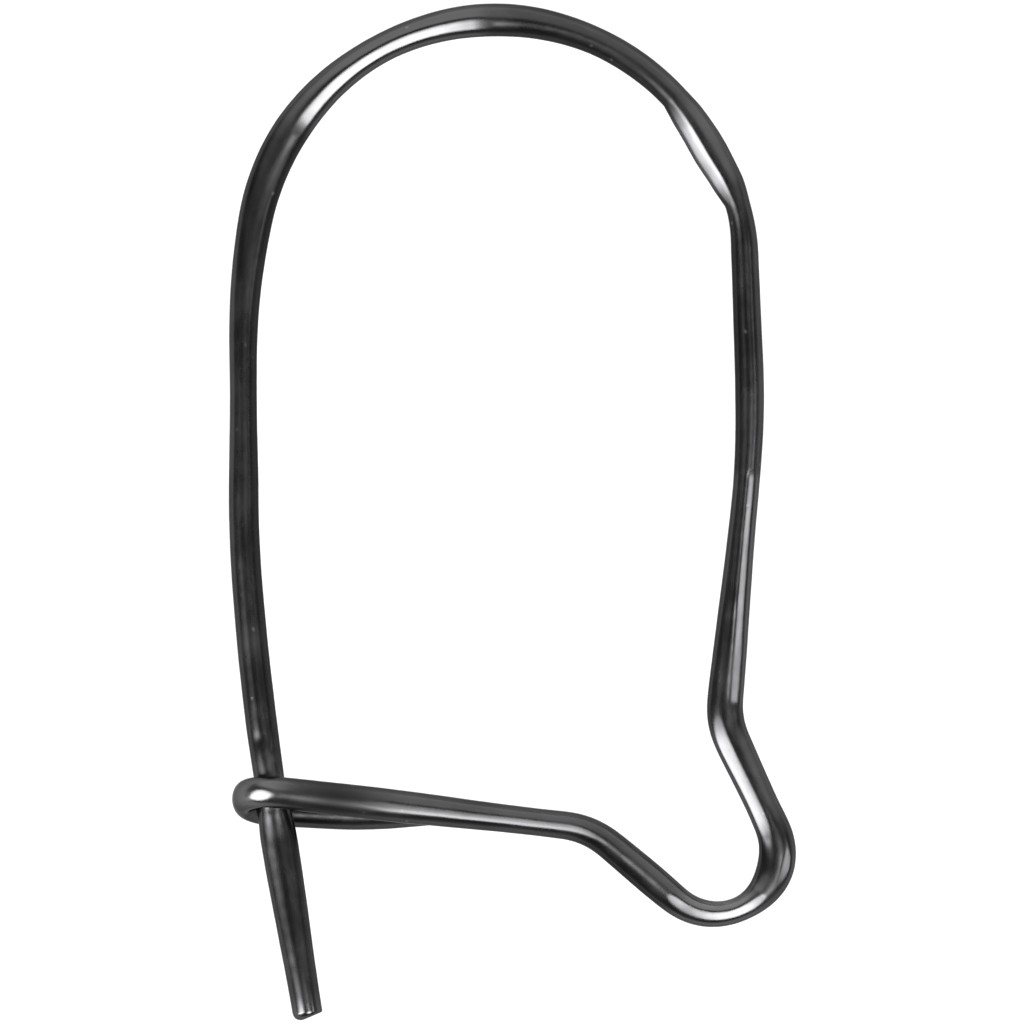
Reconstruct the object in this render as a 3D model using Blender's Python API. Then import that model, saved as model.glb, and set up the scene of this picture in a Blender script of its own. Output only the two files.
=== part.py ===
"""Ear wire with a straight post that springs into a hooked catch.

It is one length of round wire, bent cold: the post, the left side, the arch, the right side, the
bend that a drop hangs in, the arm, the hook that goes round the post, and the hook's return leg.
It lies face up. X runs across the frame, Y from the catch to the arch, and Z up from the surface
that it lies on. The origin is on that surface, under the middle of the whole wire.
All lengths are in metres and all angles in degrees.
"""
import math
from collections import namedtuple

import bmesh
import bpy
from mathutils import Matrix, Vector

# Wire
WIRE_DIAMETER = 0.80e-3
END_ROUND = 0.16e-3
POST_CUT_ANGLE = 14.0

# Frame, measured at the middle of the wire
FRAME_WIDTH = 13.12e-3
FRAME_HEIGHT = 20.09e-3
ARCH_RADIUS = 6.34e-3
DROP_BEND_RADIUS = 1.60e-3

# Post: how far it stands in from the left side at the catch, and how far it goes on past it
POST_INSET = 0.76e-3
POST_TAIL = 5.72e-3

# Hook: its gap to the post, how much the wire thins going round it, how far down the post the
# return leg lies from the arm, how far from its front the arm starts to come down, and the return
# leg's length and bow, which hides its end behind the arm
CATCH_GAP = 0.08e-3
HOOK_THINNING = 0.22
HOOK_STAGGER = 0.56e-3
ARM_CREST = 2.20e-3
ARM_CREST_RADIUS = 3.0e-3
RETURN_LENGTH = 5.20e-3
RETURN_BOW_AT = 0.62
RETURN_BOW_RADIUS = 12.0e-3
RETURN_FALL = 3.0
RETURN_RISE = 5.0

# Fineness of the solid, the edges that stay sharp, and how level the wire has to run for its
# section to lie level too, as the cosine of its slope
SECTION_SIDES = 16
END_STEPS = 3
LONGEST_STEP = 0.50e-3
WIDEST_TURN = 8.0
SHARP_EDGE = 40.0
LEVEL_ENOUGH = 0.95

# The wire's corners from the post to the arm, each rounded to its bend. They are measured from
# the foot of the left side, level with the catch: across is a share of FRAME_WIDTH, up a share of
# FRAME_HEIGHT, and lift the height above lying flat, in wire diameters. bend is the radius, as a
# share of ARCH_RADIUS.
Corner = namedtuple("Corner", "name across up lift bend")
DROP_BEND = DROP_BEND_RADIUS / ARCH_RADIUS
CORNERS = (
    Corner("lower left side", 0.000, 0.229, 0.95, 10.3),
    Corner("shoulder", 0.000, 0.661, 0.40, 2.81),
    Corner("arch left", 0.101, 1.000, 0.00, 1.00),
    Corner("arch right", 0.745, 1.000, 0.00, 1.00),
    Corner("arch end", 0.904, 0.853, 0.00, 1.20),
    Corner("top of the right side", 0.983, 0.763, 0.00, 0.49),
    Corner("right side", 1.000, 0.470, 0.00, 4.07),
    Corner("drop entry", 0.944, 0.099, 0.00, 0.45),
    Corner("drop bend right", 1.079, -0.093, 0.00, DROP_BEND),
    Corner("drop bend left", 0.922, -0.170, 0.00, DROP_BEND),
    Corner("start of the arm", 0.683, -0.038, 0.40, 0.354),
)

# The wire's width in the plane of the frame, in wire diameters, where bending and the pliers
# left it wider or narrower. along is a share of the wire's length from the post's tip.
Width = namedtuple("Width", "name along width")
WIDTHS = (
    Width("post tip", 0.000, 0.97),
    Width("post below the catch", 0.060, 1.19),
    Width("post in the catch", 0.078, 0.98),
    Width("above the catch", 0.100, 1.02),
    Width("lower left side", 0.175, 0.97),
    Width("left side", 0.210, 0.88),
    Width("shoulder", 0.297, 1.18),
    Width("arch left", 0.345, 0.95),
    Width("arch top", 0.382, 1.07),
    Width("arch right", 0.425, 0.87),
    Width("before the flat", 0.455, 0.88),
    Width("flat", 0.474, 1.18),
    Width("end of the flat", 0.486, 1.09),
    Width("past the flat", 0.496, 0.80),
    Width("right side", 0.555, 0.94),
    Width("lower right side", 0.590, 0.86),
    Width("drop entry", 0.671, 1.18),
    Width("down the drop bend", 0.698, 1.08),
    Width("drop bend right", 0.719, 1.21),
    Width("drop bend foot", 0.741, 0.81),
    Width("up the drop bend", 0.773, 1.03),
    Width("start of the arm", 0.818, 0.89),
    Width("arm", 0.875, 1.06),
    Width("hook", 0.925, 1.00),
    Width("return end", 1.000, 0.96),
)

METAL_COLOUR = (0.09, 0.09, 0.095, 1.0)
METAL_ROUGHNESS = 0.28


def direction(angle):
    """A level direction, at an angle above the line across the frame."""
    return Vector((math.cos(math.radians(angle)), math.sin(math.radians(angle)), 0.0))


def rounded(corners, radii):
    """Points along straight runs through the corners, each rounded to its radius.

    Where two bends would need more than the run between them, they share it and are tighter.
    """
    runs = [after - before for before, after in zip(corners, corners[1:])]
    turns = [before.angle(after) for before, after in zip(runs, runs[1:])]
    reaches = [radius * math.tan(turn / 2) for radius, turn in zip(radii, turns)]
    wanted = [before + after for before, after in zip([0.0, *reaches], [*reaches, 0.0])]
    room = [min(1.0, run.length / reach) for run, reach in zip(runs, wanted)]
    points = [corners[0]]
    for index, (corner, turn, reach) in enumerate(zip(corners[1:], turns, reaches)):
        inwards = runs[index].normalized()
        onwards = runs[index + 1].normalized()
        reach *= min(room[index], room[index + 1])
        radius = reach / math.tan(turn / 2)
        axis = inwards.cross(onwards).normalized()
        start = corner - reach * inwards
        centre = start + radius * axis.cross(inwards)
        steps = math.ceil(max(math.degrees(turn) / WIDEST_TURN, radius * turn / LONGEST_STEP))
        for step in range(steps + 1):
            spoke = Matrix.Rotation(turn * step / steps, 3, axis) @ (start - centre)
            points.append(centre + spoke)
    points.append(corners[-1])
    return points


def divided(points):
    """The same path with long straight runs cut into steps, and no point given twice."""
    path = [points[0]]
    for point in points[1:]:
        start = path[-1]
        run = point - start
        if run.length > WIRE_DIAMETER / 100:
            steps = math.ceil(run.length / LONGEST_STEP)
            path.extend(start + run * step / steps for step in range(1, steps + 1))
    return path


def wire_path():
    """The middle of the wire, from the post's tip to the return leg's cut end.

    The post crosses between the hook's two legs, a wire and a gap from each, and the hook goes
    round it with the same gap.
    """
    lying = WIRE_DIAMETER / 2
    pitch = WIRE_DIAMETER + CATCH_GAP
    corners = [Vector((corner.across * FRAME_WIDTH, corner.up * FRAME_HEIGHT,
                       lying + corner.lift * WIRE_DIAMETER)) for corner in CORNERS]
    radii = [corner.bend * ARCH_RADIUS for corner in CORNERS]
    catch = Vector((POST_INSET, 0.0, lying + pitch))
    tip = catch + POST_TAIL * (catch - corners[0]).normalized()
    front = catch.x - pitch + HOOK_THINNING * WIRE_DIAMETER / 2
    above = Vector((front, HOOK_STAGGER / 2, lying + 2 * pitch))
    below = Vector((front, -HOOK_STAGGER / 2, lying))
    arm = Vector((corners[-1].x - above.x, corners[-1].y - above.y, 0.0))
    crest = above + ARM_CREST * arm.normalized()
    bow = below + RETURN_BOW_AT * RETURN_LENGTH * direction(-RETURN_FALL)
    end = bow + (1 - RETURN_BOW_AT) * RETURN_LENGTH * direction(RETURN_RISE)
    hook_radius = (above - below).length / 2
    points = rounded([tip, *corners, crest, above, below, bow, end],
                     [*radii, ARM_CREST_RADIUS, hook_radius, hook_radius, RETURN_BOW_RADIUS])
    return divided(points)


def section_axes(path):
    """The wire's direction, its sideways axis and its depth axis at each point of the path.

    The sideways axis is level, except in the hook, where it is carried round the bend.
    """
    axes = []
    side = None
    for index, point in enumerate(path):
        before = path[max(index - 1, 0)]
        after = path[min(index + 1, len(path) - 1)]
        along = ((point - before).normalized() + (after - point).normalized()).normalized()
        level = Vector((0.0, 0.0, 1.0)).cross(along)
        if side is None:
            side = level
        elif level.length > LEVEL_ENOUGH:
            side = math.copysign(1.0, level.dot(side)) * level
        side = (side - side.dot(along) * along).normalized()
        axes.append((along, side, along.cross(side)))
    return axes


def width_at(along):
    """The wire's width, in wire diameters, eased between the rows of WIDTHS on either side."""
    following = next(index for index, row in enumerate(WIDTHS) if index and row.along >= along)
    before, after = WIDTHS[following - 1], WIDTHS[following]
    share = (along - before.along) / (after.along - before.along)
    return before.width + share * share * (3 - 2 * share) * (after.width - before.width)


def section_sizes(path, axes):
    """The wire's width and depth at each point of the path.

    Where it was pressed wide it is as much thinner, and it is drawn thin where it goes down
    round the post.
    """
    reached = [0.0]
    for before, point in zip(path, path[1:]):
        reached.append(reached[-1] + (point - before).length)
    sizes = []
    for length, (along, _, _) in zip(reached, axes):
        width = width_at(min(1.0, length / reached[-1]))
        depth = min(1.0, 1.0 / width) * (1.0 - HOOK_THINNING * along.z ** 2)
        sizes.append((width * WIRE_DIAMETER, depth * WIRE_DIAMETER))
    return sizes


def ring(centre, frame, size, inset=0.0, slant=0.0):
    """The corners of a section whose opposite flats are its width and its depth apart.

    An inset makes it smaller all round, and a slant leans it along the wire.
    """
    along, side, deep = frame
    half_turn = math.pi / SECTION_SIDES
    half_width, half_depth = [(extent / 2 - inset) / math.cos(half_turn) for extent in size]
    corners = []
    for index in range(SECTION_SIDES):
        angle = (2 * index + 1) * half_turn
        sideways = half_width * math.cos(angle)
        deepways = half_depth * math.sin(angle)
        lean = -sideways * math.tan(math.radians(slant))
        corners.append(centre + sideways * side + deepways * deep + lean * along)
    return corners


def end_rings(end, inwards, frame, size, slant):
    """The rings of a cut end, rounded from its flat face to the full section."""
    rings = []
    for step in range(END_STEPS + 1):
        angle = math.pi / 2 * step / END_STEPS
        centre = end + END_ROUND * (1 - math.cos(angle)) * inwards
        rings.append(ring(centre, frame, size, END_ROUND * (1 - math.sin(angle)), slant))
    return rings


def wire_rings():
    """All the rings of the wire, from the post's flat end to the return leg's."""
    path = wire_path()
    axes = section_axes(path)
    sizes = section_sizes(path, axes)
    rings = end_rings(path[0], axes[0][0], axes[0], sizes[0], POST_CUT_ANGLE)
    for centre, frame, size in list(zip(path, axes, sizes))[1:-1]:
        rings.append(ring(centre, frame, size))
    return rings + end_rings(path[-1], -axes[-1][0], axes[-1], sizes[-1], 0.0)[::-1]


def standing(rings):
    """The rings moved so that the origin is under the middle of the box that holds them all."""
    points = [point for corners in rings for point in corners]
    low = Vector([min(point[axis] for point in points) for axis in range(3)])
    high = Vector([max(point[axis] for point in points) for axis in range(3)])
    origin = Vector(((low.x + high.x) / 2, (low.y + high.y) / 2, low.z))
    return [[point - origin for point in corners] for corners in rings]


def wire_mesh():
    """The whole wire as one closed body: each ring joined to the next, with a flat at each end."""
    body = bmesh.new()
    rings = [[body.verts.new(point) for point in corners] for corners in standing(wire_rings())]
    for before, after in zip(rings, rings[1:]):
        for index in range(SECTION_SIDES):
            following = (index + 1) % SECTION_SIDES
            body.faces.new((before[index], before[following], after[following], after[index]))
    body.faces.new(rings[0])
    body.faces.new(rings[-1])
    bmesh.ops.recalc_face_normals(body, faces=body.faces)
    mesh = bpy.data.meshes.new("ear_wire")
    body.to_mesh(mesh)
    body.free()
    mesh.shade_smooth()
    mesh.set_sharp_from_angle(angle=math.radians(SHARP_EDGE))
    return mesh


def dark_metal():
    """The wire's dark plated finish."""
    material = bpy.data.materials.new("dark_metal")
    material.use_nodes = True
    shader = material.node_tree.nodes["Principled BSDF"]
    shader.inputs["Base Color"].default_value = METAL_COLOUR
    shader.inputs["Metallic"].default_value = 1.0
    shader.inputs["Roughness"].default_value = METAL_ROUGHNESS
    return material


def main():
    """Clear the scene and build the ear wire."""
    for old in list(bpy.data.objects):
        bpy.data.objects.remove(old, do_unlink=True)
    ear_wire = bpy.data.objects.new("ear_wire", wire_mesh())
    ear_wire.data.materials.append(dark_metal())
    bpy.context.scene.collection.objects.link(ear_wire)


main()
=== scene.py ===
"""Looks of the ear wire: the bent wire worked out finely around its solid, its plating, and a
plain studio seen from straight above.

All lengths are in metres and all angles in degrees, unless a name says millimetres.
"""
from __future__ import annotations

import logging
import math
from dataclasses import dataclass, field
from enum import Enum
from typing import NamedTuple

import bpy
import numpy as np
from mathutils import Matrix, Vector


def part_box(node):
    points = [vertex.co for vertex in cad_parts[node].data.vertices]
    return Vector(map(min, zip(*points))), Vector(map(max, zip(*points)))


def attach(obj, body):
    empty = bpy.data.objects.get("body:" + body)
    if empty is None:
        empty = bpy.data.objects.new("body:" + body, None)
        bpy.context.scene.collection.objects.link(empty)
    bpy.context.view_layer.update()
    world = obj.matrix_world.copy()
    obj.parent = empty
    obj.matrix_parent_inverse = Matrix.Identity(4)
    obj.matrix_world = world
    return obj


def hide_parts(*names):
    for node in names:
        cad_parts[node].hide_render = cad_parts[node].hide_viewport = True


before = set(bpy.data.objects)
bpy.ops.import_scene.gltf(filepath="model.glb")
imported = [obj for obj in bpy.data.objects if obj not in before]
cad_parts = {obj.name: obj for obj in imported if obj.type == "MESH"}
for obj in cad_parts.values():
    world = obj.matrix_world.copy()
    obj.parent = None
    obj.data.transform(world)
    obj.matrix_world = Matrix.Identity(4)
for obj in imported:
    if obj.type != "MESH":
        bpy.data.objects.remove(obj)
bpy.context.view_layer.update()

LOG = logging.getLogger("ear_wire")
MILLIMETRES = 1000.0


class Corner(NamedTuple):
    """A corner of the wire: across and up as shares of the frame, lift in wire diameters, and
    bend, its radius as a share of the arch's."""

    name: str
    across: float
    up: float
    lift: float
    bend: float


class Width(NamedTuple):
    """The wire's width in the plane of the frame, in wire diameters, at a share of its length."""

    name: str
    along: float
    width: float


class Mark(NamedTuple):
    """A place that the pliers pressed flat.

    start, stop and ease are shares of the wire's length, and the flat deepens over ease at both
    ends. Its face turns from faces to then_faces, angles from straight up towards the inside of
    the frame. Depth is in wire diameters, and so is swell, how far the pressed metal stands out
    towards the inside. Bow is how far the middle of the flat itself stands out, which makes it
    straight where the wire bends. Shine is how much the pliers polished it.
    """

    name: str
    start: float
    stop: float
    ease: float
    faces: float
    then_faces: float
    depth: float
    swell: float
    bow: float
    shine: float


class Dent(NamedTuple):
    """A small dent: a share of the wire's length, an angle from straight up towards the inside
    of the frame, and its reach and depth in wire diameters."""

    name: str
    along: float
    faces: float
    reach: float
    depth: float


class Facet(NamedTuple):
    """A small flat spot: a share of the wire's length, the angle that it faces from straight up
    towards the inside of the frame, and its depth in wire diameters."""

    name: str
    along: float
    faces: float
    depth: float


class Wear(NamedTuple):
    """A place where the plating is polished, rubbed or matte, or where shade is painted into its
    colour: its middle and reach as shares of the wire's length, the way it faces round the wire,
    and how much it is so."""

    name: str
    along: float
    reach: float
    facing: float
    amount: float


class Wave(NamedTuple):
    """A wave of the wire's unevenness: its share, its length in millimetres, where it starts,
    and how far, how often and from where its phase swings round the wire, in radians."""

    share: float
    length: float
    start: float
    swing: float
    turns: float
    side: float


ARCH_RADIUS = 6.34e-3
DROP_BEND = 1.60e-3 / ARCH_RADIUS

# The wire's corners from above the catch to the start of the arm.
CORNERS = (
    Corner("above the catch", 0.025, 0.130, 1.02, 11.8),
    Corner("lower left side", 0.002, 0.336, 0.82, 5.00),
    Corner("shoulder", 0.000, 0.661, 0.40, 2.81),
    Corner("arch left", 0.101, 1.000, 0.00, 1.00),
    Corner("arch right", 0.745, 1.000, 0.00, 1.00),
    Corner("arch end", 0.905, 0.853, 0.00, 1.20),
    Corner("top of the right side", 0.983, 0.763, 0.00, 0.70),
    Corner("right side", 1.000, 0.470, 0.00, 4.07),
    Corner("drop entry", 0.944, 0.099, 0.00, 0.31),
    Corner("drop bend right", 1.083, -0.095, 0.00, DROP_BEND),
    Corner("drop bend left", 0.922, -0.170, 0.00, DROP_BEND),
    Corner("start of the arm", 0.683, -0.038, 0.40, 0.354),
)

# Its widths, where bending and the pliers left it wider or narrower.
WIDTHS = (
    Width("post tip", 0.000, 0.97),
    Width("post below the catch", 0.060, 1.19),
    Width("post in the catch", 0.078, 0.98),
    Width("above the catch", 0.100, 1.02),
    Width("lower left side", 0.175, 0.97),
    Width("left side", 0.210, 0.88),
    Width("shoulder", 0.297, 1.18),
    Width("arch left", 0.345, 0.95),
    Width("arch top", 0.382, 1.07),
    Width("arch right", 0.425, 0.90),
    Width("before the flat", 0.451, 0.88),
    Width("start of the flat", 0.460, 0.95),
    Width("flat", 0.472, 0.99),
    Width("end of the flat", 0.484, 0.93),
    Width("past the flat", 0.495, 0.81),
    Width("top of the right side", 0.511, 0.89),
    Width("right side", 0.555, 0.94),
    Width("lower right side", 0.590, 0.86),
    Width("drop entry", 0.671, 1.18),
    Width("down the drop bend", 0.698, 1.08),
    Width("drop bend right", 0.719, 1.21),
    Width("drop bend foot", 0.741, 0.81),
    Width("up the drop bend", 0.773, 1.03),
    Width("start of the arm", 0.818, 0.89),
    Width("arm", 0.875, 1.06),
    Width("hook", 0.925, 1.00),
    Width("return end", 1.000, 0.96),
)

# What the pliers pressed into it: flats, dents and small flat spots.
MARKS = (
    Mark("left of the arch", 0.3015, 0.383, 0.007, 13.0, 12.0, 0.028, 0.0, 0.0, 1.0),
    Mark("upper right flat", 0.4510, 0.4925, 0.012, 39.0, 37.0, 0.033, 0.17, 0.07, 1.0),
    Mark("lower right side", 0.582, 0.664, 0.004, -25.0, -25.0, 0.026, 0.0, 0.0, 1.0),
    Mark("down the drop bend", 0.665, 0.710, 0.010, 19.0, 19.0, 0.024, 0.0, 0.0, 1.0),
    Mark("foot of the drop bend", 0.730, 0.766, 0.008, -13.0, -7.0, 0.036, 0.0, 0.0, 1.0),
    Mark("arm", 0.797, 0.880, 0.014, -3.0, -3.0, 0.014, 0.0, 0.0, 0.2),
)

DENTS = (
    Dent("above the catch", 0.0945, -12.0, 0.26, 0.030),
    Dent("beside it", 0.0900, 26.0, 0.28, 0.022),
    Dent("below the catch", 0.0712, -8.0, 0.13, 0.018),
)

FACETS = (
    Facet("top of the hook", 0.9120, -11.0, 0.036),
    Facet("right of the drop bend", 0.7190, -25.0, 0.020),
)

# How its plating has aged: where the tool or the post polished it, and where it is rubbed away.
# Then painted shade: a darker colour on one side of the wire in some stretches, and spots whose
# shine is lost and whose colour is darkened as painted shade as well.
POLISHED = (
    Wear("top of the hook", 0.9120, 0.0080, -11.0, 1.0),
    Wear("right of the drop bend", 0.7190, 0.0060, -25.0, 0.8),
    Wear("post tip", 0.0030, 0.0032, -25.0, 1.0),
)

RUBBED = (
    Wear("post tip", 0.004, 0.008, 0.0, 0.10),
    Wear("post in the catch", 0.078, 0.012, 0.0, 0.25),
    Wear("drop seat", 0.741, 0.020, 80.0, 0.5),
    Wear("front of the hook", 0.914, 0.012, 0.0, 0.3),
)

# Painted shade: the plating's colour is darkened on the inside of the frame and on the outside of
# the way up to the arm, standing in for shade there.
PAINTED_SHADE = (
    Wear("inside of the left side", 0.200, 0.140, 90.0, 1.0),
    Wear("inside of the arch and the right side", 0.520, 0.170, 90.0, 1.0),
    Wear("outside of the way up to the arm", 0.785, 0.025, -90.0, 0.9),
)

# Spots that lose their shine, with painted shade as well: their colour is darkened too, which dims
# the highlights at the end of the arm, the shoulder and the right of the arch.
DULL_AND_SHADED = (
    Wear("end of the arm", 0.8890, 0.0160, 0.0, 1.0),
    Wear("shoulder", 0.2780, 0.0180, 30.0, 0.35),
    Wear("right of the arch", 0.4250, 0.0250, 25.0, 0.4),
)

# The slight unevenness of hand-bent wire.
WAVES = (
    Wave(0.5, 1.90, 0.0, 1.3, 1.0, 0.0),
    Wave(0.3, 0.93, 1.0, 1.7, 1.0, math.pi / 2),
    Wave(0.2, 0.41, 2.0, 0.8, 2.0, 0.0),
)


def unit(vectors: np.ndarray) -> np.ndarray:
    """Each vector divided by its own length."""
    return vectors / np.linalg.norm(vectors, axis=-1, keepdims=True)


def eased(share: np.ndarray) -> np.ndarray:
    """A share from 0 to 1 that starts and stops gently: 3 x^2 - 2 x^3."""
    share = np.clip(share, 0.0, 1.0)
    return share * share * (3.0 - 2.0 * share)


def soft_limit(value: np.ndarray, limit: np.ndarray | float,
               softness: np.ndarray | float) -> np.ndarray:
    """The smaller of value and limit, with a rounded change between them.

    Formula: (value + limit - sqrt((value - limit)^2 + softness^2)) / 2.
    """
    return 0.5 * (value + limit - np.sqrt((value - limit) ** 2 + softness ** 2))


def level(angle: float) -> np.ndarray:
    """A level direction, at an angle above the line across the frame."""
    return np.array((math.cos(math.radians(angle)), math.sin(math.radians(angle)), 0.0))


def add_object(name: str, data: bpy.types.ID) -> bpy.types.Object:
    """Puts an object with this mesh, lamp or camera in the scene."""
    made = bpy.data.objects.new(name, data)
    bpy.context.scene.collection.objects.link(made)
    return made


@dataclass(frozen=True)
class WireRoute:
    """The way that the wire goes, from the post's tip to the end of the hook's return leg."""

    diameter: float = 0.80e-3
    frame_width: float = 13.12e-3
    frame_height: float = 20.09e-3
    arch_radius: float = ARCH_RADIUS
    post_inset: float = 0.76e-3
    post_tail: float = 5.72e-3
    catch_gap: float = 0.08e-3
    hook_thinning: float = 0.30
    hook_stagger: float = 0.56e-3
    arm_crest: float = 1.60e-3
    arm_crest_radius: float = 3.0e-3
    return_length: float = 5.20e-3
    return_bow_at: float = 0.62
    return_bow_radius: float = 12.0e-3
    return_fall: float = 3.0
    return_rise: float = 5.0
    bend_points: int = 120
    smoothing: float = 0.16e-3
    bell_reach: float = 4.0

    def corners(self) -> tuple[np.ndarray, np.ndarray]:
        """The corners of the route and the radius of each bend between its two ends.

        The post crosses between the hook's legs, a wire and a gap from each.

        Returns:
            The corner points, one row each, and the bends' radii.
        """
        lying = self.diameter / 2
        pitch = self.diameter + self.catch_gap
        across, up, lift, bend = np.array([corner[1:] for corner in CORNERS]).T
        frame_corners = np.column_stack((across * self.frame_width, up * self.frame_height,
                                         lying + lift * self.diameter))
        catch = np.array((self.post_inset, 0.0, lying + pitch))
        tip = catch + self.post_tail * unit(catch - frame_corners[0])
        front = catch[0] - pitch + self.hook_thinning * self.diameter / 2
        above = np.array((front, self.hook_stagger / 2, lying + 2 * pitch))
        below = np.array((front, -self.hook_stagger / 2, lying))
        arm = unit((frame_corners[-1] - above) * np.array((1.0, 1.0, 0.0)))
        crest = above + self.arm_crest * arm
        bow = below + self.return_bow_at * self.return_length * level(-self.return_fall)
        end = bow + (1 - self.return_bow_at) * self.return_length * level(self.return_rise)
        hook_radius = np.linalg.norm(above - below) / 2
        radii = np.r_[bend * self.arch_radius, self.arm_crest_radius, hook_radius, hook_radius,
                      self.return_bow_radius]
        return np.vstack((tip, frame_corners, crest, above, below, bow, end)), radii

    def bent(self) -> np.ndarray:
        """Points on straight runs through the corners, each corner rounded to its bend.

        A point of a bend is start + radius (sin a inwards + (1 - cos a) across), for a from 0 to
        the whole turn. Two bends that need more than the run between them share it.

        Returns:
            The points in order, one row each.
        """
        corners, radii = self.corners()
        runs = np.diff(corners, axis=0)
        lengths = np.linalg.norm(runs, axis=1)
        ways = unit(runs)
        cosines = (ways[:-1] * ways[1:]).sum(axis=1)
        turns = np.arccos(np.clip(cosines, -1.0, 1.0))
        reaches = radii * np.tan(turns / 2)
        room = np.minimum(1.0, lengths / (np.r_[0.0, reaches] + np.r_[reaches, 0.0]))
        reaches = reaches * np.minimum(room[:-1], room[1:])
        radii = reaches / np.tan(turns / 2)
        across = unit(ways[1:] - cosines[:, None] * ways[:-1])
        starts = corners[1:-1] - reaches[:, None] * ways[:-1]
        angles = turns[:, None] * np.linspace(0.0, 1.0, self.bend_points)
        bends = (starts[:, None] + radii[:, None, None]
                 * (np.sin(angles)[..., None] * ways[:-1, None]
                    + (1.0 - np.cos(angles))[..., None] * across[:, None]))
        return np.vstack((corners[:1], bends.reshape(-1, 3), corners[-1:]))

    def centre_line(self, rings: int) -> tuple[np.ndarray, np.ndarray]:
        """The middle of the wire at evenly spaced places, its bends eased a little.

        Args:
            rings: how many places.

        Returns:
            The points, one row each, and the length of wire up to each.
        """
        points = self.bent()
        reached = np.r_[0.0, np.cumsum(np.linalg.norm(np.diff(points, axis=0), axis=1))]
        places = np.linspace(0.0, reached[-1], rings)
        line = np.column_stack([np.interp(places, reached, axis) for axis in points.T])
        spacing = places[1]
        reach = int(self.bell_reach * self.smoothing / spacing)
        bell = np.exp(-0.5 * (np.arange(-reach, reach + 1) * spacing / self.smoothing) ** 2)
        bell /= bell.sum()
        padded = np.pad(line, ((reach, reach), (0, 0)), mode="reflect", reflect_type="odd")
        line = np.column_stack([np.convolve(axis, bell, mode="valid") for axis in padded.T])
        return line, places

    def widths(self, shares: np.ndarray) -> np.ndarray:
        """The wire's width in wire diameters, eased between the rows of WIDTHS on either side."""
        along = np.array([row.along for row in WIDTHS])
        width = np.array([row.width for row in WIDTHS])
        after = np.clip(np.searchsorted(along, shares), 1, len(along) - 1)
        before = after - 1
        share = eased((shares - along[before]) / (along[after] - along[before]))
        return width[before] + share * (width[after] - width[before])


@dataclass(frozen=True)
class Surface:
    """A closed skin of rings round the wire.

    points has one row of corners for each ring, ends holds the middles of the two end faces,
    and unbent and unbent_ends the same points on the wire when it was straight, in millimetres.
    looks holds a value from 0 to 1 at each point under the name of each of the skin's looks:
    rubbed, how much of the plating is gone; painted_shade, how much painted shade darkens its
    colour; dull_and_shaded, how much of its shine is gone, with painted shade darkening its colour
    there too; burnished, how much the pliers polished it; and cut, 1 on the cut ends.
    """

    points: np.ndarray
    ends: np.ndarray
    unbent: np.ndarray
    unbent_ends: np.ndarray
    looks: dict[str, np.ndarray]


# What each of the skin's looks is in the middle of the end faces.
END_LOOKS = {"rubbed": 1.0, "painted_shade": 0.0, "dull_and_shaded": 0.0, "burnished": 0.0, "cut": 1.0}


def skin_mesh(name: str, skin: Surface) -> bpy.types.Mesh:
    """Makes a mesh of a skin: quads between the rings and a fan of triangles on each end.

    Args:
        name: the mesh's name.
        skin: the rings.

    Returns:
        The mesh, with its unbent attribute, one for each of its looks, a map of the unrolled
        wire, and the second material on its cut ends.
    """
    rings, sides = skin.points.shape[:2]
    number = np.arange(rings * sides).reshape(rings, sides)
    after = np.roll(number, -1, axis=1)
    quads = np.stack((number[:-1], after[:-1], after[1:], number[1:]), axis=-1).reshape(-1, 4)
    first = np.full(sides, rings * sides)
    fans = np.concatenate((np.stack((first, after[0], number[0]), axis=-1),
                           np.stack((first + 1, number[-1], after[-1]), axis=-1)))
    points = np.vstack((skin.points.reshape(-1, 3), skin.ends))
    unbent = np.vstack((skin.unbent.reshape(-1, 3), skin.unbent_ends))

    mesh = bpy.data.meshes.new(name)
    mesh.from_pydata(points, [], quads.tolist() + fans.tolist(), shade_flat=False)
    mesh.attributes.new("unbent", "FLOAT_VECTOR", "POINT").data.foreach_set(
        "vector", unbent.ravel().astype(np.float32))
    for label, end_look in END_LOOKS.items():
        look = np.r_[skin.looks[label].ravel(), end_look, end_look]
        mesh.attributes.new(label, "FLOAT", "POINT").data.foreach_set(
            "value", look.astype(np.float32))
        if label == "cut":
            on_end = np.r_[look[quads].min(axis=1), look[fans].min(axis=1)] > 0.5
            mesh.polygons.foreach_set("material_index", on_end.astype(np.int32))

    corners = np.r_[quads.ravel(), fans.ravel()]
    length = unbent[:, 2]
    around = np.r_[np.tile(np.arange(sides) / sides, rings), 0.5, 0.5]
    on_seam = (number[:-1] % sides == sides - 1).reshape(-1, 1)
    wrap = np.zeros(len(corners))
    wrap[:quads.size] = (on_seam * np.array((0, 1, 1, 0))).ravel()
    flat_map = mesh.uv_layers.new(name="unrolled")
    span = length.max() - length.min()
    flat_map.data.foreach_set("uv", np.column_stack(
        ((length[corners] - length.min()) / span, (around[corners] + wrap) / span)).ravel())
    return mesh


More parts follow.
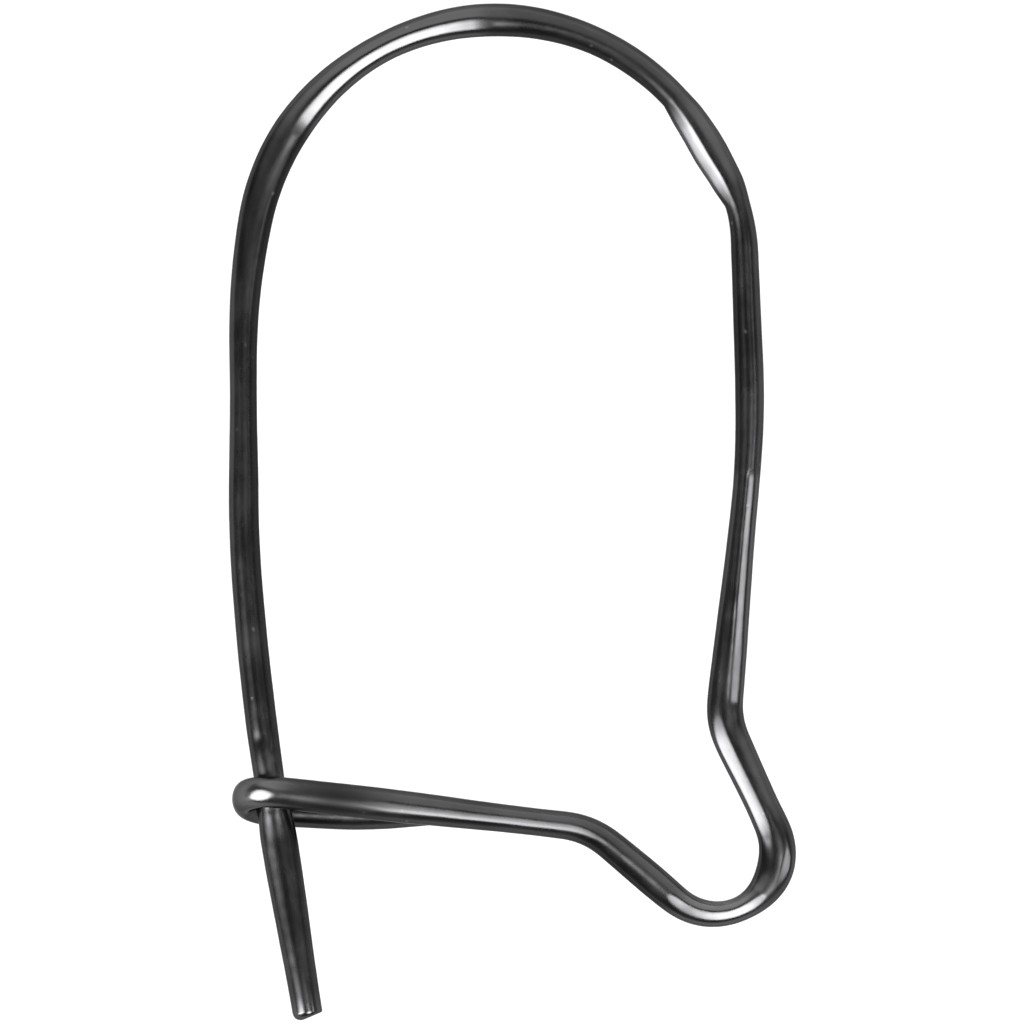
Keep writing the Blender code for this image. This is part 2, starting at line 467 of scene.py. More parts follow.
@dataclass
class EarWire:
    """The ear wire, one length of round wire pressed and bent to its form.

    post_gap and return_gap are how far the plain rings stop short of the two ends, in roundings
    of their edges. carried_from and carried_over are the shares of the length where the section
    starts to be carried round the hook, and over which it changes to that.
    """

    route: WireRoute = field(default_factory=WireRoute)
    rings: int = 1240
    sides: int = 64
    cut_angle: float = 14.0
    end_round: float = 0.16e-3
    end_lean: float = 0.75
    end_steps: int = 6
    face_steps: int = 4
    post_gap: float = 3.5
    return_gap: float = 1.2
    carried_from: float = 0.82
    carried_over: float = 0.03
    swell_fullness: float = 0.8
    mark_softness: float = 1.0
    facet_reach: float = 0.8e-3
    waver: float = 2.0e-6
    lean_reach: float = 2.5e-3

    def axes(self, line: np.ndarray) -> tuple[np.ndarray, np.ndarray, np.ndarray]:
        """The wire's direction and its sideways and depth axes at each place.

        The sideways axis is level, and in the arm and the hook it is the part of the direction
        down the frame that is square to the wire, which carries it round the hook.

        Args:
            line: the middle of the wire.

        Returns:
            The three axes, one row each for every place.
        """
        ways = unit(np.gradient(line, axis=0))
        side = unit(np.cross((0.0, 0.0, 1.0), ways))
        down = np.array((0.0, -1.0, 0.0))
        carried = unit(down - (ways @ down)[:, None] * ways)
        share = np.linspace(0.0, 1.0, len(line))[:, None]
        hooked = eased((share - self.carried_from) / self.carried_over)
        side = unit(side * (1.0 - hooked) + carried * hooked)
        side = unit(side - (side * ways).sum(axis=1, keepdims=True) * ways)
        return ways, side, np.cross(ways, side)

    def along_mark(self, mark: Mark,
                   shares: np.ndarray) -> tuple[np.ndarray, np.ndarray, np.ndarray]:
        """Where each place is on a flat.

        Args:
            mark: the flat.
            shares: how far along the wire each place is.

        Returns:
            How far along the flat each is, from 0 to 1, the angle that the flat faces there in
            radians, and how far the flat's nearer end is, as a share of its ease.
        """
        along = np.clip((shares - mark.start) / (mark.stop - mark.start), 0.0, 1.0)
        facing = np.radians(mark.faces + along * (mark.then_faces - mark.faces))
        near_end = np.minimum(shares - mark.start, mark.stop - shares) / mark.ease
        return along, facing, near_end

    def pressed(self, sideways: np.ndarray, deepways: np.ndarray, shares: np.ndarray,
                half: tuple[np.ndarray, np.ndarray]) -> tuple[np.ndarray, np.ndarray]:
        """The section's points with the pliers' flats pressed into them.

        A point further out than a flat, measured the way that the flat faces, comes back to it.
        The flat stands out by its bow times 1 - x^2, for x from -1 to 1 along it.

        Args:
            sideways: the points' distances along the sideways axis.
            deepways: their distances along the depth axis.
            shares: how far along the wire each ring is.
            half: half the width and half the depth of each ring.

        Returns:
            The same two arrays after pressing.
        """
        for mark in MARKS:
            along, facing, near_end = self.along_mark(mark, shares)
            out = np.stack((-np.sin(facing), np.cos(facing)))
            rise = 1.0 - (1.0 - np.clip(near_end, 0.0, 1.0)) ** 2
            depth = mark.depth * self.route.diameter * rise
            bow = mark.bow * self.route.diameter * (1.0 - (2.0 * along - 1.0) ** 2)
            reach = np.hypot(half[0] * out[0], half[1] * out[1])
            outwards = sideways * out[0][:, None] + deepways * out[1][:, None]
            softness = np.maximum(self.mark_softness * depth, 1e-9)[:, None]
            limited = soft_limit(outwards, (reach - depth + bow)[:, None], softness)
            back = np.where(depth[:, None] > 0.0, limited - outwards, 0.0)
            sideways = sideways + back * out[0][:, None]
            deepways = deepways + back * out[1][:, None]
        return sideways, deepways

    def swollen(self, shares: np.ndarray) -> np.ndarray:
        """How far the pressed metal stands out towards the inside: over each flat an arch, 1 - x^2
        to the power of its fullness, for x from -1 to 1 along it."""
        swell = np.zeros(len(shares))
        for mark in MARKS:
            arch = 1.0 - (2.0 * self.along_mark(mark, shares)[0] - 1.0) ** 2
            swell += mark.swell * self.route.diameter * arch ** self.swell_fullness
        return swell

    def dented(self, reached: np.ndarray, turn: np.ndarray) -> np.ndarray:
        """How far the dents draw each point in, as a share of its distance from the middle.

        A dent is a bell over the distance from its middle, along and round the wire.
        """
        drawn = np.zeros((len(reached), len(turn)))
        for dent in DENTS:
            reach = dent.reach * self.route.diameter
            middle = math.pi / 2 + math.radians(dent.faces)
            round_it = (turn - middle + math.pi) % (2 * math.pi) - math.pi
            along = (reached - dent.along * reached[-1])[:, None]
            off = np.hypot(along, round_it * self.route.diameter / 2)
            drawn += 2.0 * dent.depth * np.exp(-(off / reach) ** 2)
        return drawn

    def flattened(self, points: np.ndarray, line: np.ndarray,
                  axes: tuple[np.ndarray, np.ndarray], half: tuple[np.ndarray, np.ndarray],
                  shares: np.ndarray) -> np.ndarray:
        """The points with each small flat spot cut by a plane square to the way that it faces.

        Args:
            points: the rings' points.
            line: the middle of each ring.
            axes: the sideways and depth axes of each ring.
            half: half the width and half the depth of each ring.
            shares: how far along the wire each ring is.

        Returns:
            The points, those near a spot moved back onto its plane.
        """
        for facet in FACETS:
            at = int(np.argmin(np.abs(shares - facet.along)))
            facing = math.radians(facet.faces)
            out = np.array((-math.sin(facing), math.cos(facing)))
            normal = out[0] * axes[0][at] + out[1] * axes[1][at]
            depth = facet.depth * self.route.diameter
            level_of_plane = math.hypot(half[0][at] * out[0], half[1][at] * out[1]) - depth
            off = points - line[at]
            height = off @ normal
            near = np.linalg.norm(off - height[..., None] * normal, axis=-1) < self.facet_reach
            limited = soft_limit(height, level_of_plane, self.mark_softness * depth / 2)
            back = np.where(near & (height > 0.0), limited - height, 0.0)
            points = points + back[..., None] * normal
        return points

    def cap(self, centre: np.ndarray, axes: tuple[np.ndarray, np.ndarray, np.ndarray],
            section: np.ndarray, rounding: np.ndarray, lean: float) -> np.ndarray:
        """The rings of a cut end, from near the middle of its face out to the full section.

        On the face a ring is a share of the section drawn in by the rounding r. On its edge it
        is drawn in by r (1 - sin a) and goes r (1 - cos a) along the wire, for a from 0 to 90
        degrees. A point leans along the wire by its sideways distance times the lean.

        Args:
            centre: the middle of the face.
            axes: the direction into the wire and the two axes of its section.
            section: the section's two distances, one row for each point round it.
            rounding: the radius of the edge at each point.
            lean: how far the face leans for each length across.

        Returns:
            For each ring and point, the place in space, the two distances in the section, and
            how far the point is along the wire from the face.
        """
        radius = np.hypot(*section.T)
        shares = np.arange(1, self.face_steps)[:, None] / self.face_steps
        angles = np.linspace(0.0, math.pi / 2, self.end_steps)[:, None]
        inner = np.vstack(((radius - rounding) * shares,
                           radius - rounding * (1.0 - np.sin(angles))))
        along = np.vstack((0.0 * rounding * shares, rounding * (1.0 - np.cos(angles))))
        across, out = (inner / radius)[None] * section.T[:, None]
        along = along - across * lean
        way, side, deep = axes
        points = (centre + across[..., None] * side + out[..., None] * deep
                  + along[..., None] * way)
        return np.concatenate((points, np.stack((across, out, along), axis=-1)), axis=-1)

    def body(self) -> Surface:
        """The whole skin of the wire.

        A ring's point is centre + a cos t side + b sin t depth, for t round the wire. Near the
        post's slanted end the rings lean with it, less and less.

        Returns:
            The skin, in the frame of the solid.
        """
        line, reached = self.route.centre_line(self.rings)
        ways, side, deep = self.axes(line)
        length = reached[-1]
        shares = reached / length
        width = self.route.widths(shares)
        depth = (np.minimum(1.0, 1.0 / width)
                 * (1.0 - self.route.hook_thinning * ways[:, 2] ** 2))
        half = (width * self.route.diameter / 2, depth * self.route.diameter / 2)
        turn = (np.arange(self.sides) + 0.5) * 2.0 * math.pi / self.sides
        waver = 1.0 + 2.0 * self.waver / self.route.diameter * self.wavering(reached, turn)
        waver = waver - self.dented(reached, turn)
        inwards = 0.5 - 0.5 * np.cos(turn)
        across = half[0][:, None] * np.cos(turn) * waver
        across = across - self.swollen(shares)[:, None] * inwards
        across, out = self.pressed(across, half[1][:, None] * np.sin(turn) * waver, shares, half)

        lean = math.tan(math.radians(self.cut_angle))
        post_edge = self.end_round * (1.0 + self.end_lean * np.cos(turn))
        other_edge = np.full_like(turn, self.end_round)
        post_cap = self.cap(line[0], (ways[0], side[0], deep[0]),
                            np.column_stack((across[0], out[0])), post_edge, lean)
        other_cap = self.cap(line[-1], (-ways[-1], side[-1], deep[-1]),
                             np.column_stack((across[-1], out[-1])), other_edge, 0.0)[::-1]
        ends = line[[0, -1]]
        keep = ((reached > self.post_gap * self.end_round)
                & (reached < length - self.return_gap * self.end_round))
        line, ways, side, deep, across, out, reached, shares = (
            part[keep] for part in (line, ways, side, deep, across, out, reached, shares))
        fade = np.clip(1.0 - reached / self.lean_reach, 0.0, 1.0)[:, None] ** 2
        along = -across * lean * fade
        middle = (line[:, None] + across[..., None] * side[:, None]
                  + out[..., None] * deep[:, None] + along[..., None] * ways[:, None])
        middle = self.flattened(middle, line, (side, deep), (half[0][keep], half[1][keep]), shares)
        unbent = np.concatenate((
            post_cap[..., 3:], np.stack((across, out, along + reached[:, None]), axis=-1),
            np.array((0.0, 0.0, length)) + other_cap[..., 3:] * np.array((1.0, 1.0, -1.0))))
        points = np.concatenate((post_cap[..., :3], middle, other_cap[..., :3]))
        cut = np.zeros(points.shape[:2])
        cut[:self.face_steps + 1] = 1.0
        cut[-self.face_steps - 1:] = 1.0
        shift = self.shift(points)
        place = unbent / np.array((1.0, 1.0, length))
        looks = {"rubbed": self.worn(place, RUBBED), "painted_shade": self.worn(place, PAINTED_SHADE),
                 "dull_and_shaded": self.worn(place, DULL_AND_SHADED), "burnished": self.burnished(place), "cut": cut}
        unbent_ends = np.array(((0.0, 0.0, 0.0), (0.0, 0.0, length)))
        return Surface(points + shift, ends + shift, unbent * MILLIMETRES,
                       unbent_ends * MILLIMETRES, looks)

    def shift(self, points: np.ndarray) -> np.ndarray:
        """The move that puts the middle of the skin's box over the solid's, resting as it does."""
        low, high = (np.array(corner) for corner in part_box("ear_wire"))
        own_low, own_high = points.min(axis=(0, 1)), points.max(axis=(0, 1))
        move = (low + high) / 2 - (own_low + own_high) / 2
        move[2] = low[2] - own_low[2]
        return move

    def wavering(self, reached: np.ndarray, turn: np.ndarray) -> np.ndarray:
        """The wire's unevenness at each point of each ring, from -1 to 1, as a sum of waves.

        A wave is share sin(2 pi s / length + start + swing cos(turns t - side)), for s along the
        wire and t round it.
        """
        place = reached[:, None] * MILLIMETRES * 2 * math.pi
        return sum(wave.share * np.sin(
            place / wave.length + wave.start
            + wave.swing * np.cos(wave.turns * turn - wave.side)) for wave in WAVES)

    def worn(self, place: np.ndarray, table: tuple[Wear, ...]) -> np.ndarray:
        """How much the plating is worn in one way, from 0 to 1.

        Each place fades along the wire as a bell and round it as the square of a raised cosine.

        Args:
            place: each point's two distances in the section and its share of the length.
            table: the places that are worn that way.

        Returns:
            One value for each point.
        """
        facing = np.arctan2(-place[..., 0], place[..., 1])
        worn = np.zeros(facing.shape)
        for row in table:
            near = np.exp(-((place[..., 2] - row.along) / row.reach) ** 2)
            turned = 0.5 + 0.5 * np.cos(facing - math.radians(row.facing))
            worn = np.maximum(worn, row.amount * near * turned ** 2)
        return worn

    def burnished(self, place: np.ndarray) -> np.ndarray:
        """How much the pliers polished each point: fully on each flat, and less round it."""
        facing = np.arctan2(-place[..., 0], place[..., 1])
        polished = self.worn(place, POLISHED)
        for mark in MARKS:
            _, faces, near_end = self.along_mark(mark, place[..., 2])
            turned = 0.5 + 0.5 * np.cos(facing - faces)
            polished = np.maximum(polished, mark.shine * eased(near_end) * turned ** 2)
        return polished

    def build(self, plating: Plating, sheared: ShearedMetal) -> bpy.types.Object:
        """Makes the wire, dresses it, and puts it in the place of its solid.

        Args:
            plating: the finish of the wire.
            sheared: the finish of its cut ends.

        Returns:
            The finished piece.
        """
        mesh = skin_mesh("ear_wire_skin", self.body())
        mesh.materials.append(plating.material())
        mesh.materials.append(sheared.material())
        piece = add_object("ear_wire_skin", mesh)
        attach(piece, "root")
        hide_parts("ear_wire")
        return piece


class Effect(Enum):
    """The shader node groups that the metals share."""

    DRAWN_LINES = "Drawn lines"
    SCRATCHES = "Fine scratches"
    PITS = "Pits and specks"


def paint(colour: tuple[float, float, float], share: float = 1.0) -> tuple[float, ...]:
    """A colour with each part multiplied by a share, and its alpha."""
    return (*(share * part for part in colour), 1.0)


class Wiring:
    """Short ways to add and link nodes in one tree."""

    def __init__(self, tree: bpy.types.NodeTree) -> None:
        """Works on the given tree."""
        self.tree = tree

    @staticmethod
    def material(name: str, **values: object) -> tuple[Wiring, bpy.types.Material, bpy.types.Node]:
        """Starts a material: its wiring, itself, and its shader, whose inputs hold the values."""
        made = bpy.data.materials.new(name)
        made.use_nodes = True
        shader = made.node_tree.nodes["Principled BSDF"]
        for label, value in values.items():
            shader.inputs[label.replace("_", " ")].default_value = value
        return Wiring(made.node_tree), made, shader

    @staticmethod
    def group(effect: Effect, outputs: tuple[str, ...], **inputs: float) -> tuple[
            Wiring, bpy.types.NodeTree, bpy.types.Node, bpy.types.Node]:
        """Starts a shared effect: its wiring, itself, and the nodes of its inputs and outputs."""
        made = bpy.data.node_groups.new(effect.value, "ShaderNodeTree")
        number = "NodeSocketFloat"
        for name, value in inputs.items():
            made.interface.new_socket(name=name.replace("_", " "), in_out="INPUT",
                                      socket_type=number).default_value = value
        for name in outputs:
            made.interface.new_socket(name=name, in_out="OUTPUT", socket_type=number)
        wiring = Wiring(made)
        return wiring, made, wiring.node("NodeGroupInput"), wiring.node("NodeGroupOutput")

    def node(self, kind: str, **settings: object) -> bpy.types.Node:
        """Adds a node and sets its properties."""
        made = self.tree.nodes.new(kind)
        for name, value in settings.items():
            setattr(made, name, value)
        return made

    def link(self, source: bpy.types.NodeSocket, target: bpy.types.NodeSocket) -> None:
        """Links an output to an input."""
        self.tree.links.new(source, target)

    def feed(self, target: bpy.types.NodeSocket, value: object) -> None:
        """Sets an input to a number or links it to an output."""
        if isinstance(value, bpy.types.NodeSocket):
            self.link(value, target)
        else:
            target.default_value = value

    def math(self, operation: str, *values: object, clamp: bool = False) -> bpy.types.NodeSocket:
        """The result of a sum on numbers or outputs."""
        made = self.node("ShaderNodeMath", operation=operation, use_clamp=clamp)
        for target, value in zip(made.inputs, values):
            self.feed(target, value)
        return made.outputs[0]

    def total(self, first: object, *parts: tuple[object, object]) -> bpy.types.NodeSocket:
        """The first value and the product of each pair after it, added up in order."""
        for value, share in parts:
            first = self.math("ADD", first, self.math("MULTIPLY", value, share))
        return first

    def blend(self, factor: object, first: object, second: object) -> bpy.types.NodeSocket:
        """A colour between two colours or outputs, the second where the factor is 1."""
        made = self.node("ShaderNodeMix", data_type="RGBA")
        for name, value in (("Factor", factor), ("A", first), ("B", second)):
            self.feed(made.inputs[name], value)
        return made.outputs["Result"]

    def look(self, name: str) -> bpy.types.NodeSocket:
        """One of the looks of the wire's skin."""
        return self.node("ShaderNodeAttribute", attribute_name=name).outputs["Fac"]

    def relief(self, height: bpy.types.NodeSocket) -> bpy.types.NodeSocket:
        """The normal of a surface raised by a height in millimetres."""
        bump = self.node("ShaderNodeBump")
        bump.inputs["Distance"].default_value = 1.0 / MILLIMETRES
        self.link(height, bump.inputs["Height"])
        return bump.outputs["Normal"]

    def spread(self, value: object, low: float, high: float, to_low: float = 0.0,
               to_high: float = 1.0) -> bpy.types.NodeSocket:
        """A value moved smoothly from one range to another."""
        made = self.node("ShaderNodeMapRange", interpolation_type="SMOOTHSTEP")
        for target, number in zip(made.inputs[:5], (value, low, high, to_low, to_high)):
            self.feed(target, number)
        return made.outputs[0]

    def place(self, scale: tuple[float, float, float],
              rotation: tuple[float, float, float] = (0.0, 0.0, 0.0)) -> bpy.types.NodeSocket:
        """The point on the wire before it was bent, in millimetres, turned, then scaled."""
        read = self.node("ShaderNodeAttribute", attribute_name="unbent")
        moved = self.node("ShaderNodeMapping")
        moved.inputs["Rotation"].default_value = rotation
        moved.inputs["Scale"].default_value = scale
        self.link(read.outputs["Vector"], moved.inputs["Vector"])
        return moved.outputs["Vector"]

    def noise(self, place: bpy.types.NodeSocket, scale: object, detail: float = 2.0,
              roughness: float = 0.5) -> bpy.types.NodeSocket:
        """Cloudy noise at a place."""
        made = self.node("ShaderNodeTexNoise")
        self.link(place, made.inputs["Vector"])
        self.feed(made.inputs["Scale"], scale)
        made.inputs["Detail"].default_value = detail
        made.inputs["Roughness"].default_value = roughness
        return made.outputs[0]


def drawn_lines_group() -> bpy.types.NodeTree:
    """The fine lines that the drawing die leaves along the wire: noise stretched along it."""
    wiring, group, given, result = Wiring.group(
        Effect.DRAWN_LINES, ("Height", "Mask"), Lines_per_mm=22.0)
    per_mm = given.outputs["Lines per mm"]
    fine_share, coarse_share, coarse_per_fine = 0.6, 0.4, 0.3
    fine = wiring.noise(wiring.place(scale=(1.0, 1.0, 0.02)), per_mm, detail=3.0, roughness=0.6)
    coarse = wiring.noise(wiring.place(scale=(1.0, 1.0, 0.05)),
                          wiring.math("MULTIPLY", per_mm, coarse_per_fine))
    height = wiring.total(wiring.math("MULTIPLY", fine, fine_share), (coarse, coarse_share))
    wiring.link(height, result.inputs["Height"])
    wiring.link(wiring.spread(height, low=0.40, high=0.62), result.inputs["Mask"])
    return group


def scratches_group() -> bpy.types.NodeTree:
    """Fine scratches from handling, steeply crossed with the wire: thin lines of stretched
    noise where its value is near the middle, broken up by clouds."""
    wiring, group, given, result = Wiring.group(
        Effect.SCRATCHES, ("Mask",), Thinness=0.012, Amount=0.5)
    noise_middle = 0.5
    lines = []
    for scale, turn in (((2.2, 2.2, 0.5), 0.5), ((1.2, 1.8, 0.9), -0.7)):
        crossed = wiring.place(scale, rotation=(turn, 0.4 * turn, 0.0))
        value = wiring.noise(crossed, scale=1.4, detail=1.0, roughness=0.4)
        off = wiring.math("ABSOLUTE", wiring.math("SUBTRACT", value, noise_middle))
        lines.append(wiring.math("LESS_THAN", off, given.outputs["Thinness"]))
    clouds = wiring.noise(wiring.place(scale=(1.0, 1.0, 0.6)), scale=1.1, roughness=0.6)
    broken = wiring.math("MULTIPLY", wiring.math("MAXIMUM", *lines),
                         wiring.spread(clouds, low=0.50, high=0.62))
    wiring.link(wiring.math("MULTIPLY", broken, given.outputs["Amount"]), result.inputs["Mask"])
    return group


def pits_group() -> bpy.types.NodeTree:
    """Small round pits and specks in the plating, from the distance to scattered points."""
    wiring, group, given, result = Wiring.group(
        Effect.PITS, ("Mask",), Per_mm=3.0, Size=0.16)
    cells = wiring.node("ShaderNodeTexVoronoi")
    wiring.link(wiring.place(scale=(1.0, 1.0, 0.8)), cells.inputs["Vector"])
    wiring.link(given.outputs["Per mm"], cells.inputs["Scale"])
    near = wiring.math("SUBTRACT", 1.0, wiring.math(
        "DIVIDE", cells.outputs["Distance"], given.outputs["Size"]), clamp=True)
    chosen = wiring.noise(wiring.place(scale=(1.0, 1.0, 1.0)), scale=1.7, detail=1.0)
    some = wiring.spread(chosen, low=0.52, high=0.60)
    wiring.link(wiring.math("MULTIPLY", near, some), result.inputs["Mask"])
    return group


GROUP_MAKERS = {
    Effect.DRAWN_LINES: drawn_lines_group,
    Effect.SCRATCHES: scratches_group,
    Effect.PITS: pits_group,
}


def effect_node(wiring: Wiring, effect: Effect, **values: float) -> bpy.types.Node:
    """Places a shared effect in a material, making its group the first time.

    Args:
        wiring: the material's nodes.
        effect: which effect.
        values: what its inputs hold here, with _ for a space.

    Returns:
        The group node.
    """
    group = bpy.data.node_groups.get(effect.value) or GROUP_MAKERS[effect]()
    made = wiring.node("ShaderNodeGroup", node_tree=group)
    for name, value in values.items():
        made.inputs[name.replace("_", " ")].default_value = value
    return made


@dataclass(frozen=True)
class Plating:
    """The dark plating of the wire, semi-bright, with the drawn wire's lines showing through."""

    colour: tuple[float, float, float] = (0.051, 0.051, 0.0525)
    burnished_colour: tuple[float, float, float] = (0.082, 0.082, 0.084)
    worn_colour: tuple[float, float, float] = (0.20, 0.20, 0.205)
    clouds_per_mm: float = 1.3
    cloud_limits: tuple[float, float] = (0.30, 0.70)
    cloud_tones: tuple[float, float] = (0.82, 1.18)
    # How dark the painted shade is, as a share of the plating's colour.
    dark_tone: float = 0.35
    edge_tint: float = 0.50
    roughness: float = 0.245
    cloud_roughness: tuple[float, float] = (-0.03, 0.05)
    line_roughness: float = 0.03
    burnished_roughness: float = 0.18
    worn_roughness: float = 0.38
    dull_roughness: float = 0.46
    lines_per_mm: float = 12.0
    line_height: float = 0.15e-6
    ripple_height: float = 1.1e-6
    ripples_per_mm: float = 5.0
    pits_per_mm: float = 2.6
    pit_size: float = 0.15
    pit_depth: float = 1.5e-6
    pit_wear: float = 0.5
    scratch_thinness: float = 0.0025
    scratch_amount: float = 0.08
    rubbed_limits: tuple[float, float] = (0.3, 0.6)

    def material(self) -> bpy.types.Material:
        """Makes the material.

        Its colour follows faint clouds. It is darkest where shade is painted in: on the inside of
        the frame, and on the spots that also lose their shine. It is lighter where it is
        burnished, rubbed or scratched. Its roughness follows the clouds, the drawn lines and the
        wear.
        """
        wiring, material, shader = Wiring.material(
            "dark plating", Metallic=1.0, Specular_Tint=paint((self.edge_tint,) * 3))
        lines = effect_node(wiring, Effect.DRAWN_LINES, Lines_per_mm=self.lines_per_mm)
        scratches = effect_node(wiring, Effect.SCRATCHES, Thinness=self.scratch_thinness,
                                Amount=self.scratch_amount)
        pits = effect_node(wiring, Effect.PITS, Per_mm=self.pits_per_mm, Size=self.pit_size)
        clouds = wiring.noise(wiring.place(scale=(1.0, 1.0, 0.45)), self.clouds_per_mm,
                              detail=4.0, roughness=0.6)
        dull_and_shaded, burnished = wiring.look("dull_and_shaded"), wiring.look("burnished")
        worn = wiring.math("MULTIPLY", wiring.look("rubbed"),
                           wiring.spread(clouds, *self.rubbed_limits))
        worn = wiring.math("MAXIMUM", worn, scratches.outputs["Mask"], clamp=True)
        worn = wiring.math("MAXIMUM", worn, wiring.math(
            "MULTIPLY", pits.outputs["Mask"], self.pit_wear))

        # The colour of the painted shade.
        darkest = paint(self.colour, self.dark_tone)
        colour = wiring.blend(wiring.spread(clouds, *self.cloud_limits),
                              *(paint(self.colour, tone) for tone in self.cloud_tones))
        # Painted shade on the inside of the frame.
        colour = wiring.blend(wiring.look("painted_shade"), colour, darkest)
        colour = wiring.blend(burnished, colour, paint(self.burnished_colour))
        # Painted shade on the spots that lose their shine.
        colour = wiring.blend(dull_and_shaded, colour, darkest)
        colour = wiring.blend(worn, colour, paint(self.worn_colour))
        wiring.link(colour, shader.inputs["Base Color"])

        low, high = (self.roughness + more for more in self.cloud_roughness)
        rough = wiring.total(wiring.spread(clouds, *self.cloud_limits, low, high),
                             (lines.outputs["Mask"], self.line_roughness),
                             (worn, self.worn_roughness - self.roughness),
                             (dull_and_shaded, self.dull_roughness - self.roughness),
                             (burnished, self.burnished_roughness - self.roughness))
        wiring.link(rough, shader.inputs["Roughness"])

        ripple = wiring.noise(wiring.place(scale=(1.0, 1.0, 0.8)), self.ripples_per_mm,
                              detail=1.0, roughness=0.4)
        height = wiring.math("MULTIPLY", lines.outputs["Height"], self.line_height * MILLIMETRES)
        height = wiring.math("SUBTRACT", height, wiring.math(
            "MULTIPLY", pits.outputs["Mask"], self.pit_depth * MILLIMETRES))
        height = wiring.total(height, (ripple, self.ripple_height * MILLIMETRES))
        wiring.link(wiring.relief(height), shader.inputs["Normal"])
        return material


@dataclass(frozen=True)
class ShearedMetal:
    """The bare metal of the cut ends, torn by the cutters."""

    colour: tuple[float, float, float] = (0.15, 0.15, 0.155)
    torn_tone: float = 0.5
    roughness: tuple[float, float] = (0.30, 0.50)
    tear_height: float = 4.0e-6
    pits_per_mm: float = 7.0
    pit_size: float = 0.3
    pit_tone: float = 0.3

    def material(self) -> bpy.types.Material:
        """Makes the material: pale metal with short tears and a few pits."""
        wiring, material, shader = Wiring.material("sheared metal", Metallic=1.0)
        pits = effect_node(wiring, Effect.PITS, Per_mm=self.pits_per_mm, Size=self.pit_size)
        tears = wiring.noise(wiring.place(scale=(2.0, 14.0, 4.0)), scale=1.0, detail=4.0,
                             roughness=0.6)
        tone = wiring.spread(wiring.math("SUBTRACT", tears, wiring.math(
            "MULTIPLY", pits.outputs["Mask"], self.pit_tone)), low=0.25, high=0.75)
        wiring.link(wiring.blend(tone, paint(self.colour, self.torn_tone), paint(self.colour)),
                    shader.inputs["Base Color"])
        rough = wiring.spread(tears, 0.3, 0.7, *self.roughness)
        wiring.link(rough, shader.inputs["Roughness"])
        height = wiring.math("MULTIPLY", tears, self.tear_height * MILLIMETRES)
        wiring.link(wiring.relief(height), shader.inputs["Normal"])
        return material


class Softbox(NamedTuple):
    """A lamp: the way it stands from the wire, how far off, how wide and tall, its light, and
    how softly that fades out at the edge, as a share of the lamp's size."""

    name: str
    azimuth: float
    zenith: float
    distance: float
    width: float
    height: float
    radiance: float
    fade: float


SOFTBOXES = (
    Softbox("main softbox", -54.0, 28.5, 0.60, 0.32, 0.30, 15.0, 0.35),
    Softbox("left strip", 208.0, 54.0, 0.60, 0.205, 0.56, 15.0, 0.40),
    Softbox("right lamp", -8.0, 50.0, 0.60, 0.13, 0.13, 7.5, 0.40),
    Softbox("back panel", 82.0, 58.0, 0.80, 2.10, 1.50, 1.65, 0.25),
)


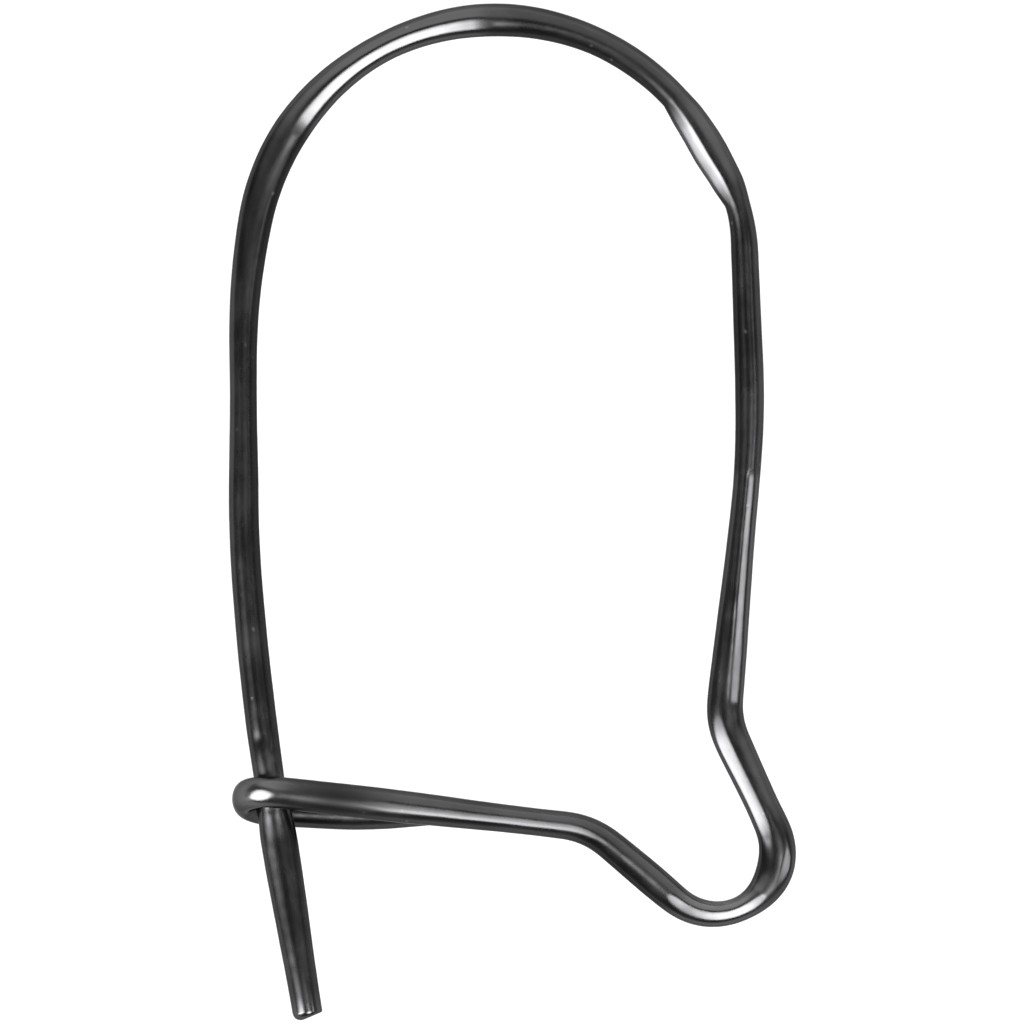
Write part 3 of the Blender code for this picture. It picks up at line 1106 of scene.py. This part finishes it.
@dataclass
class Studio:
    """A plain white floor under soft lamps, seen from straight above."""

    floor_reach: float = 1.5
    floor_gap: float = 2.0e-6
    floor_colour: tuple[float, float, float] = (0.16, 0.16, 0.16)
    floor_speck: float = 0.99
    floor_specks_per_metre: float = 900.0
    floor_roughness: float = 0.9
    floor_shine: float = 0.1
    floor_glow: float = 0.96
    sky: float = 0.10
    left_wall: float = 0.30
    right_wall: float = 0.90
    wall_height: float = 0.5
    camera_height: float = 0.8
    picture_width: float = 26.42e-3
    picture_middle: tuple[float, float] = (-0.012e-3, -0.010e-3)
    wire_height: float = 0.45e-3
    fade_steps: int = 4
    fade_gap: float = 0.004
    sensor: float = 36.0
    camera_reach: tuple[float, float] = (0.01, 10.0)

    def add_floor(self) -> bpy.types.Object:
        """Lays the floor, a plain white sheet that glows softly, just under the wire."""
        reach = self.floor_reach
        mesh = bpy.data.meshes.new("floor")
        corners = np.array(((-1, -1, 0), (1, -1, 0), (1, 1, 0), (-1, 1, 0))) * reach
        corners = corners + np.array((0.0, 0.0, -self.floor_gap))
        mesh.from_pydata(corners.tolist(), [], [(0, 1, 2, 3)])
        wiring, material, shader = Wiring.material(
            "white light table", Roughness=self.floor_roughness,
            Specular_IOR_Level=self.floor_shine, Emission_Color=paint((1.0, 1.0, 1.0)),
            Emission_Strength=self.floor_glow)
        where = wiring.node("ShaderNodeTexCoord").outputs["Object"]
        grain = wiring.noise(where, self.floor_specks_per_metre, detail=3.0, roughness=0.6)
        speck = paint(self.floor_colour, self.floor_speck)
        wiring.link(wiring.blend(grain, speck, paint(self.floor_colour)),
                    shader.inputs["Base Color"])
        mesh.materials.append(material)
        floor = add_object("floor", mesh)
        return floor

    def add_sky(self) -> None:
        """Gives the room its light, dim above and paler towards the floor, most on the right,
        and a pale look where a camera sees past the floor."""
        world = bpy.data.worlds.new("studio")
        world.use_nodes = True
        wiring = Wiring(world.node_tree)
        room = world.node_tree.nodes["Background"]
        room.inputs["Color"].default_value = (1.0, 1.0, 1.0, 1.0)
        ray = wiring.node("ShaderNodeLightPath")
        seen = wiring.node("ShaderNodeMix", data_type="FLOAT")
        wiring.link(ray.outputs["Is Camera Ray"], seen.inputs["Factor"])
        place = wiring.node("ShaderNodeTexCoord").outputs["Generated"]
        part = wiring.node("ShaderNodeSeparateXYZ")
        wiring.link(place, part.inputs[0])
        wall = wiring.spread(part.outputs["X"], -1.0, 1.0, self.left_wall, self.right_wall)
        light = wiring.spread(part.outputs["Z"], 0.0, self.wall_height, wall, self.sky)
        wiring.link(light, seen.inputs["A"])
        seen.inputs["B"].default_value = 1.0
        wiring.link(seen.outputs["Result"], room.inputs["Strength"])
        bpy.context.scene.world = world

    def add_softboxes(self) -> None:
        """Stands the softboxes round the wire, each facing it.

        Each is made of ellipses of growing size, one just behind the other, whose light adds up
        to one that fades towards its edge. An ellipse's power is its radiance x pi x its area,
        which is pi / 4 x width x height.
        """
        for box in SOFTBOXES:
            zenith, azimuth = math.radians(box.zenith), math.radians(box.azimuth)
            away = Vector((math.sin(zenith) * math.cos(azimuth),
                           math.sin(zenith) * math.sin(azimuth), math.cos(zenith)))
            for step in range(self.fade_steps):
                grown = 1.0 + box.fade * ((2 * step + 1) / self.fade_steps - 1.0)
                lamp = bpy.data.lights.new(f"{box.name} {step + 1}", "AREA")
                lamp.shape = "ELLIPSE"
                lamp.size, lamp.size_y = grown * box.width, grown * box.height
                lamp.energy = (box.radiance / self.fade_steps
                               * math.pi ** 2 / 4 * lamp.size * lamp.size_y)
                stand = add_object(lamp.name, lamp)
                stand.location = away * (box.distance + step * self.fade_gap)
                stand.rotation_euler = away.to_track_quat("Z", "Y").to_euler()
                stand.visible_camera = False

    def add_camera(self) -> bpy.types.Object:
        """Hangs the camera over the wire, looking straight down, with the picture's top along
        the arch."""
        data = bpy.data.cameras.new("camera")
        data.sensor_width = self.sensor
        data.lens = self.sensor * self.camera_height / self.picture_width
        data.clip_start, data.clip_end = self.camera_reach
        camera = add_object("camera", data)
        camera.location = (*self.picture_middle, self.camera_height + self.wire_height)
        bpy.context.scene.camera = camera
        return camera

    def build(self) -> None:
        """Sets up the floor, the light and the camera."""
        self.add_floor()
        self.add_sky()
        self.add_softboxes()
        self.add_camera()
        view = bpy.context.scene.view_settings
        view.view_transform = "Standard"
        view.look = "None"


def main() -> None:
    """Builds the wire and the studio in order, and reports each."""
    logging.basicConfig(level=logging.INFO, format="%(message)s")
    wire = EarWire().build(Plating(), ShearedMetal())
    LOG.info("%s: %d faces", wire.name, len(wire.data.polygons))
    Studio().build()
    LOG.info("studio: %d softboxes", len(SOFTBOXES))


if __name__ == "__main__":
    main()
